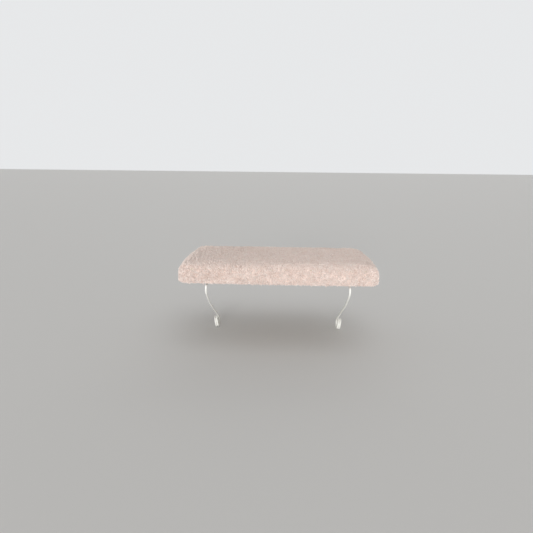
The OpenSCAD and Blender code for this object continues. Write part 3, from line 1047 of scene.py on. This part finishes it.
def zigzag_tree():
    """Lays short threads along a path, turned one way and the other by turns."""
    tree, given = geometry_tree(
        "zigzag_seam", Float="Stitch pitch, Stitch width, Thread radius", Material="Thread"
    )
    pitch, width, radius = (given[key] for key in ("Stitch pitch", "Stitch width", "Thread radius"))
    dots = add(
        tree, "GeometryNodeCurveToPoints", {"mode": "LENGTH"}, Curve=given["Geometry"], Length=pitch
    ).outputs
    squares = [number(tree, "POWER", side, 2.0) for side in (pitch, width)]
    # a thread is a little longer than its slanting step, so that it meets the next one
    half_thread = 0.52
    half = times(tree, number(tree, "SQRT", number(tree, "ADD", *squares)), half_thread)
    thread = add(
        tree,
        "GeometryNodeCurveQuadraticBezier",
        Resolution=4,
        Start=xyz(tree, X=times(tree, half, -1.0), Z=radius),
        Middle=xyz(tree, Z=times(tree, radius, -1.0)),
        End=xyz(tree, X=half, Z=radius),
    )
    stitch = round_bar(tree, thread.outputs["Curve"], radius, 5)
    onward = add(tree, "FunctionNodeAlignRotationToVector", {"axis": "X"}, Vector=dots["Tangent"])
    odd = number(tree, "MODULO", add(tree, "GeometryNodeInputIndex").outputs["Index"], 2.0)
    slant = number(tree, "ARCTAN2", width, pitch)
    turn = times(tree, number(tree, "MULTIPLY_ADD", odd, 2.0, -1.0), slant)
    turned = turned_by(tree, onward.outputs["Rotation"], xyz(tree, Z=turn), "GLOBAL")
    seam = copies_on(tree, dots["Points"], stitch, Rotation=turned)
    end_tree(tree, seam, given["Thread"])
    return tree


elastic_weave = new_material("elastic_weave", 0.85)
weave_tree = elastic_weave.node_tree
along = add(weave_tree, "ShaderNodeAttribute", {"attribute_name": "along"}).outputs["Fac"]
ribs = number(weave_tree, "SINE", times(weave_tree, along, math.tau / rib_pitch))
ribs = number(weave_tree, "MULTIPLY_ADD", ribs, 0.3, 0.5)
specks = times(weave_tree, speckle(elastic_weave, 900), 0.3)
ribs = number(weave_tree, "ADD", ribs, specks)
colour_along(elastic_weave, ribs, (0.3, (0.66, 0.64, 0.61)), (0.9, (0.84, 0.83, 0.80)))
raise_by(elastic_weave, ribs, 0.6, 0.0003)
hem_band = made_by(
    band_tree(),
    "hem_band",
    hem_path("hem_band_path", (hem_low.z + hem_high.z) / 2),
    Width=hem_width,
    Thickness=hem_thickness,
    Ruffle_height=ruffle_height,
    Ruffle_pitch=ruffle_pitch,
    Webbing=elastic_weave,
)
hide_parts("hem_elastic")
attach(hem_band, "shelf")
cotton_thread = speckled(
    "cotton_thread", 0.8, dark=(0.62, 0.54, 0.49), light=(0.80, 0.72, 0.66),
    marks=(2500, 2.0), relief=(0.4, 0.0002), Sheen_Weight=0.2,
)
hem_stitches = made_by(
    zigzag_tree(),
    "hem_stitches",
    hem_path("hem_stitch_path", hem_low.z - stitch_drop),
    Stitch_pitch=stitch_pitch,
    Stitch_width=stitch_width,
    Thread_radius=thread_radius,
    Thread=cotton_thread,
)
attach(hem_stitches, "shelf")


# Sill strips. Hook and loop tape of woven nylon, 30 mm wide: the loop strip is sewn under the
# back of the cover and the hook strip is stuck to the sill. Pressed together they hold the shelf.
tape_corner = 0.003
tape_weave = 0.0009
tape_border = 0.0018
tape_softening = 0.0002
tape_clearance = 0.0002
bristle_pitch = 0.0026
bristle_radius = 0.00014
bristle_stray = 0.0003


def tape_ground(name, low, high):
    """The woven ground of a tape: flat, with rounded corners and softened edges."""
    half, middle = (high - low) / 2, (high + low) / 2
    rings = []
    for inset, height in (
        (tape_softening, high.z),
        (0.0, high.z - tape_softening),
        (0.0, low.z + tape_softening),
        (tape_softening, low.z),
    ):
        inner = half - Vector((inset, inset, 0))
        plan = rounded_rectangle(middle, inner, tape_corner - inset, 6)
        rings.append([(*spot, height) for spot in plan])
    return skin_mesh(name, rings)


def bristle_tree():
    """Plants rows of bent nylon threads on one face of a woven tape."""
    tree, given = geometry_tree(
        "tape_bristles",
        Vector="Rows centre, Rows size, Bend, Tip",
        Float="Pitch, Thread radius, Swing",
        Int="Seed",
        Material="Nylon",
    )
    size = add(tree, "ShaderNodeSeparateXYZ", Vector=given["Rows size"]).outputs
    counts = []
    for axis in ("X", "Y"):
        gaps = number(tree, "ROUND", number(tree, "DIVIDE", size[axis], given["Pitch"]))
        counts.append(number(tree, "ADD", gaps, 1.0))
    rows = add(
        tree,
        "GeometryNodeMeshGrid",
        Size_X=size["X"],
        Size_Y=size["Y"],
        Vertices_X=counts[0],
        Vertices_Y=counts[1],
    )
    stray = Vector((bristle_stray, bristle_stray, 0.0))
    astray = random_vector(tree, -stray, stray, given["Seed"])
    spot = vector(tree, "ADD", astray, given["Rows centre"])
    placed = add(tree, "GeometryNodeSetPosition", Geometry=rows.outputs["Mesh"], Offset=spot)
    bent = add(
        tree,
        "GeometryNodeCurveQuadraticBezier",
        Resolution=5,
        Start=(0.0, 0.0, 0.0),
        Middle=given["Bend"],
        End=given["Tip"],
    )
    bristle = round_bar(tree, bent.outputs["Curve"], given["Thread radius"], 4)
    # each row of threads leans the other way from its neighbours
    row = number(tree, "MODULO", add(tree, "GeometryNodeInputIndex").outputs["Index"], counts[1])
    backward = times(tree, given["Swing"], -1.0)
    swing = random_number(tree, backward, given["Swing"], number(tree, "ADD", given["Seed"], 5))
    turn = number(tree, "MULTIPLY_ADD", number(tree, "MODULO", row, 2.0), math.pi, swing)
    turned = add(tree, "FunctionNodeEulerToRotation", Euler=xyz(tree, Z=turn)).outputs["Rotation"]
    threads = copies_on(tree, placed.outputs["Geometry"], bristle, Rotation=turned)
    whole = add(tree, "GeometryNodeJoinGeometry", Geometry=given["Geometry"])
    tree.links.new(threads, whole.inputs["Geometry"])
    end_tree(tree, whole.outputs["Geometry"], given["Nylon"])
    return tree


loop_tape = speckled(
    "loop_tape", 0.95, dark=(0.66, 0.64, 0.60), light=(0.84, 0.82, 0.78),
    marks=(1500, 3.0, 0.7), relief=(0.8, 0.0004), Sheen_Weight=0.4,
)
hook_tape = speckled(
    "hook_tape", 0.5, dark=(0.66, 0.65, 0.62), light=(0.78, 0.77, 0.74),
    marks=(1100, 1.0), relief=(0.6, 0.0004),
)
tape_shape = bristle_tree()
# a loop's thread bends over and comes back to the ground, and a hook's rises and curls over
for piece_name, node_name, upward, bend, tip_at, swing, nylon in (
    ("loop_tape", "sill_loop_strip", -1, (0.0006, 1.8), (0.0012, 0.0), math.pi, loop_tape),
    ("hook_tape", "sill_hook_strip", 1, (0.0, 1.53), (0.0007, 0.45), 0.3, hook_tape),
):
    tape_low, tape_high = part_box(node_name)
    tape_size, tape_middle = tape_high - tape_low, (tape_high + tape_low) / 2
    bristle_height = tape_size.z - tape_weave - tape_clearance
    ground_low, ground_high = tape_low.copy(), tape_high.copy()
    if upward > 0:
        root_z = ground_high.z = tape_low.z + tape_weave
    else:
        root_z = ground_low.z = tape_high.z - tape_weave
    tape = made_by(
        tape_shape,
        piece_name,
        tape_ground(piece_name + "_ground", ground_low, ground_high),
        Rows_centre=(tape_middle.x, tape_middle.y, root_z),
        Rows_size=(tape_size.x - 2 * tape_border, tape_size.y - 2 * tape_border, 0.0),
        Pitch=bristle_pitch,
        Bend=(bend[0], 0.0, upward * bend[1] * bristle_height),
        Tip=(tip_at[0], 0.0, upward * tip_at[1] * bristle_height),
        Thread_radius=bristle_radius,
        Swing=swing,
        Seed=61,
        Nylon=nylon,
    )
    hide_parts(node_name)
    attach(tape, "shelf")


# Stage. A plain pale floor just below the feet and a pale backdrop. Three soft suns stand in
# front, above and behind; the front one is the strongest, so the cover's front is its brightest.
floor_size = 30
floor_gap = 0.0005
floor_z = cad_bounds[0][2] - floor_gap
floor_mesh = bpy.data.meshes.new("floor")
corners = [(x * floor_size, y * floor_size, floor_z) for x, y in quarters]
floor_mesh.from_pydata(corners, [], [(0, 1, 2, 3)])
floor = put("floor", floor_mesh)
floor_colour = (0.70, 0.70, 0.69, 1)
floor_mesh.materials.append(new_material("floor_paint", 0.9, Base_Color=floor_colour))

world = bpy.data.worlds.new("world")
world.use_nodes = True
sky = world.node_tree
sky.nodes.clear()
path_kind = add(sky, "ShaderNodeLightPath").outputs
shiny = number(sky, "MAXIMUM", path_kind["Is Glossy Ray"], path_kind["Is Transmission Ray"])
seen = number(sky, "MAXIMUM", path_kind["Is Camera Ray"], shiny)
lighting = add(sky, "ShaderNodeBackground", Color=(1.0, 0.98, 0.96, 1), Strength=0.40)
backdrop = add(sky, "ShaderNodeBackground", Color=(0.80, 0.81, 0.82, 1), Strength=1.0)
both = add(sky, "ShaderNodeMixShader", Fac=seen)
sky.links.new(lighting.outputs["Background"], both.inputs[1])
sky.links.new(backdrop.outputs["Background"], both.inputs[2])
add(sky, "ShaderNodeOutputWorld", Surface=both.outputs["Shader"])
bpy.context.scene.world = world

for name, side_angle, height_angle, softness, strength in (
    ("front_light", -7, 3, 20, 3.05),
    ("top_light", 20, 62, 50, 0.5),
    ("back_light", 170, 24, 60, 0.45),
):
    light = put(name, bpy.data.lights.new(name, "SUN"))
    light.data.energy = strength
    light.data.angle = math.radians(softness)
    towards = direction(math.radians(side_angle), math.radians(height_angle))
    light.rotation_euler = towards.to_track_quat("Z", "Y").to_euler()
bpy.context.scene.view_settings.view_transform = "Standard"
